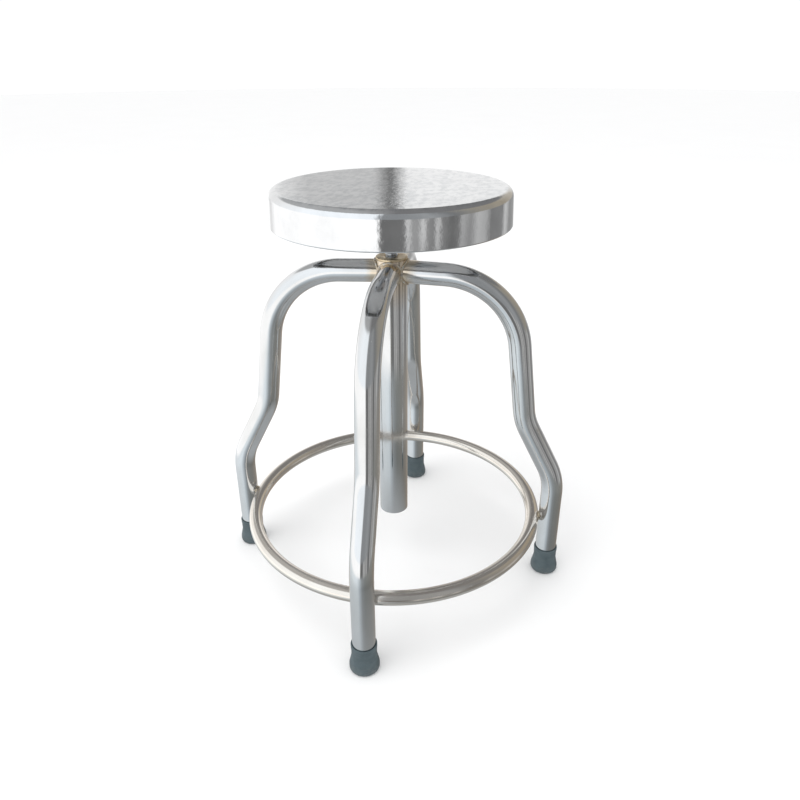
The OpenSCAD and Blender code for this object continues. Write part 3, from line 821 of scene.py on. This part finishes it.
camera_turn = 0.1727
to_camera = Vector((math.sin(camera_turn), -math.cos(camera_turn), 0))
to_right = Vector((math.cos(camera_turn), math.sin(camera_turn), 0))
world = bpy.data.worlds.new("studio_room")
world.use_nodes = True
nodes, links = world.node_tree.nodes, world.node_tree.links
nodes.clear()
sky = nodes.new("ShaderNodeTexCoord").outputs["Generated"]


def lean(direction):
    product = nodes.new("ShaderNodeVectorMath")
    product.operation = "DOT_PRODUCT"
    product.inputs[1].default_value = direction
    links.new(sky, product.inputs[0])
    return product.outputs["Value"]


def room_band(stops):
    ramp = nodes.new("ShaderNodeValToRGB")
    ramp.color_ramp.interpolation = "LINEAR"
    ends = ramp.color_ramp.elements
    ends[0].color = (*stops[0][1], 1)
    ends[1].color = (*stops[-1][1], 1)
    for place, colour in stops[1:-1]:
        ramp.color_ramp.elements.new(place).color = (*colour, 1)
    links.new(bearing, ramp.inputs["Fac"])
    return ramp.outputs["Color"]


def grey(value):
    return (value, value, value)


rightward = lean(to_right)
forward = lean(to_camera)
height = lean((0, 0, 1))
bearing = combine(nodes, links, "ARCTAN2", rightward, forward)
bearing = remap(nodes, links, bearing, -math.pi, math.pi, 0.0, 1.0)
floor_band = room_band([
    (0.0, (0.52, 0.50, 0.47)), (0.06, (0.62, 0.64, 0.65)), (0.14, (0.66, 0.70, 0.73)),
    (0.30, (0.71, 0.76, 0.79)), (0.40, (0.69, 0.75, 0.79)), (0.45, (0.48, 0.53, 0.57)),
    (0.51, (0.26, 0.28, 0.29)), (0.58, (0.20, 0.21, 0.205)), (0.75, (0.215, 0.21, 0.195)),
    (0.88, (0.28, 0.25, 0.215)), (1.0, (0.42, 0.36, 0.31))])
wall_band = room_band([
    (0.0, grey(0.40)), (0.02, grey(0.50)), (0.06, grey(0.95)), (0.09, grey(0.62)), (0.13, grey(0.98)),
    (0.464, grey(1.0)), (0.474, grey(0.14)), (0.530, grey(0.15)), (0.540, grey(0.52)),
    (0.552, grey(0.28)), (0.566, grey(0.27)), (0.578, grey(0.50)), (0.592, grey(0.22)),
    (0.606, grey(0.20)), (0.616, grey(0.46)), (0.628, grey(0.20)), (0.655, grey(0.13)),
    (0.672, grey(0.16)), (0.685, grey(0.36)), (0.71, grey(0.24)), (0.735, grey(0.42)),
    (0.765, grey(0.36)), (0.785, grey(0.18)), (0.84, grey(0.20)), (0.86, grey(0.50)),
    (0.89, grey(0.24)), (0.94, grey(0.30)), (0.965, grey(0.60)), (1.0, grey(0.40))])
front_band = room_band([
    (0.0, grey(0.14)), (0.0006, grey(0.15)), (0.0014, grey(0.47)), (0.020, grey(0.48)),
    (0.028, grey(0.72)), (0.12, grey(0.78)), (0.30, (0.88, 0.92, 0.96)), (0.455, (0.86, 0.90, 0.94)),
    (0.474, (0.23, 0.24, 0.25)), (0.54, (0.23, 0.24, 0.25)), (0.60, (0.27, 0.28, 0.29)),
    (0.665, (0.17, 0.175, 0.18)), (0.74, (0.26, 0.245, 0.215)), (0.85, (0.295, 0.262, 0.21)),
    (0.93, (0.43, 0.40, 0.355)), (0.965, grey(0.76)), (0.9926, grey(0.76)), (0.9934, grey(0.10)),
    (0.9946, grey(0.10)), (0.9953, grey(0.74)), (0.9978, grey(0.72)), (0.9985, grey(0.14)),
    (1.0, grey(0.14))])
lifted = remap(nodes, links, height, -0.40, -0.33, 0.0, 1.0)
raised = remap(nodes, links, height, -0.06, 0.02, 0.0, 1.0)
steep = remap(nodes, links, height, -0.80, -0.64, 1.0, 0.0)
over_and_back = -0.375 * to_camera + Vector((0, 0, 0.927))
overhead = remap(nodes, links, lean(tuple(over_and_back)), 0.63, 0.70, 0.0, 1.0)
close_by = remap(nodes, links, height, -0.62, -0.47, 0.23, 0.0)
shaded_floor = blend_colours(nodes, links, close_by, floor_band, (0.0, 0.0, 0.0))
room = blend_colours(nodes, links, lifted, shaded_floor, wall_band)
room = blend_colours(nodes, links, raised, room, front_band)
room = blend_colours(nodes, links, steep, room, (0.33, 0.345, 0.355))
aside = remap(nodes, links, rightward, -0.30, 0.06, 0.0, 1.0)
cloth = blend_colours(nodes, links, aside, (0.36, 0.365, 0.37), (0.165, 0.165, 0.168))
room = blend_colours(nodes, links, overhead, room, cloth)
seen_in_steel = nodes.new("ShaderNodeBackground")
seen_in_steel.inputs["Strength"].default_value = 1.28
links.new(room, seen_in_steel.inputs["Color"])
plain_room = nodes.new("ShaderNodeBackground")
plain_room.inputs["Color"].default_value = (0.985, 0.987, 0.99, 1)
plain_room.inputs["Strength"].default_value = 1.06
ray = nodes.new("ShaderNodeLightPath")
choose = nodes.new("ShaderNodeMixShader")
room_out = nodes.new("ShaderNodeOutputWorld")
links.new(ray.outputs["Is Glossy Ray"], choose.inputs["Fac"])
links.new(plain_room.outputs["Background"], choose.inputs[1])
links.new(seen_in_steel.outputs["Background"], choose.inputs[2])
links.new(choose.outputs["Shader"], room_out.inputs["Surface"])
bpy.context.scene.world = world

lamp_data = bpy.data.lights.new("soft_overhead_lamp", "AREA")
lamp_data.shape = "DISK"
lamp_data.size = 2.4
lamp_data.energy = 28.0
lamp = bpy.data.objects.new("soft_overhead_lamp", lamp_data)
lamp.location = (-1.3, -1.1, 2.9)
lamp.rotation_euler = (Vector((0, 0, 0.3)) - lamp.location).to_track_quat("-Z", "Y").to_euler()
lamp.visible_glossy = False
bpy.context.scene.collection.objects.link(lamp)

camera_data = bpy.data.cameras.new("camera")
camera_data.sensor_width = 36.0
camera_data.lens = 31.366
camera = bpy.data.objects.new("camera", camera_data)
facing = 0.0113 - camera_turn
pitch_down = 0.4692
roll = -0.0048
camera_reach = 0.8726
camera_height = 0.7099
ahead = Vector((math.sin(facing) * math.cos(pitch_down), math.cos(facing) * math.cos(pitch_down),
                -math.sin(pitch_down)))
sideways = Vector((math.cos(facing), -math.sin(facing), 0))
upward = sideways.cross(ahead)
turned_side = sideways * math.cos(roll) + upward * math.sin(roll)
turned_up = upward * math.cos(roll) - sideways * math.sin(roll)
place = Matrix((turned_side, turned_up, -ahead)).transposed().to_4x4()
place.translation = Vector((camera_reach * math.sin(camera_turn),
                            -camera_reach * math.cos(camera_turn), camera_height))
camera.matrix_world = place
bpy.context.scene.collection.objects.link(camera)
bpy.context.scene.camera = camera
bpy.context.scene.view_settings.view_transform = "Standard"
